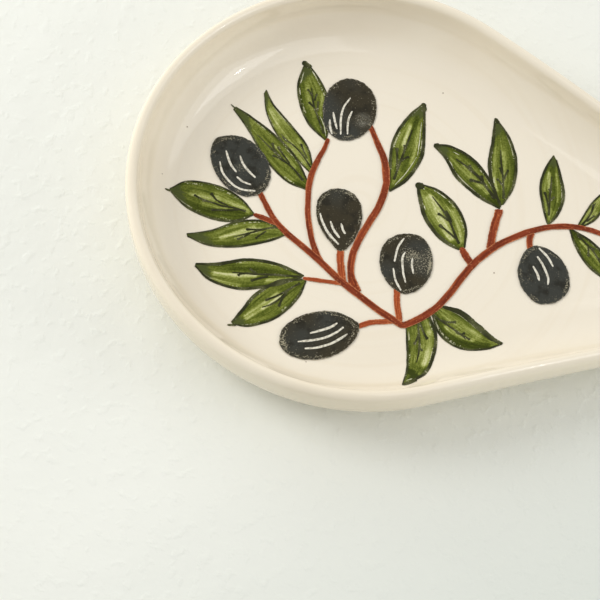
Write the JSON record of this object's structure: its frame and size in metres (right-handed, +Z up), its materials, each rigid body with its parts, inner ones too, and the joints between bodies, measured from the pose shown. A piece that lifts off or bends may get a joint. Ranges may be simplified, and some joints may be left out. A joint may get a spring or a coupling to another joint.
{
  "type": "spoon rest",
  "caption": "Shallow teardrop dish of ivory glazed ceramic with a round bowl, a lowered narrow end for a spoon's handle and a painted olive spray on its floor",
  "frame": {"origin": "on the table, under the middle of the dish's length and width", "axes": "+X runs along the dish from the round bowl to the narrow end, +Y to the left of that, +Z up"},
  "size_m": [0.1746, 0.1234, 0.019],
  "materials": {
    "clay": "matte",
    "glaze": "gloss",
    "stem": "gloss",
    "leaf": "gloss",
    "olive": "gloss"
  },
  "bodies": {
    "root": {"clay_body": "clay", "glaze_coat": "glaze", "base_glaze": "glaze", "main_stem": "stem", "left_branch": "stem", "middle_branch": "stem", "leaf_stalk_1": "stem", "leaf_stalk_2": "stem", "leaf_stalk_3": "stem", "leaf_stalk_4": "stem", "olive_stalk_1": "stem", "olive_stalk_2": "stem", "olive_stalk_3": "stem", "olive_stalk_4": "stem", "leaf_01": "leaf", "leaf_02": "leaf", "leaf_03": "leaf", "leaf_04": "leaf", "leaf_05": "leaf", "leaf_06": "leaf", "leaf_07": "leaf", "leaf_08": "leaf", "leaf_09": "leaf", "leaf_10": "leaf", "leaf_11": "leaf", "leaf_12": "leaf", "leaf_13": "leaf", "leaf_14": "leaf", "leaf_15": "leaf", "leaf_16": "leaf", "leaf_17": "leaf", "olive_1": "olive", "olive_2": "olive", "olive_3": "olive", "olive_4": "olive", "olive_5": "olive", "olive_6": "olive"}
  },
  "joints": []
}
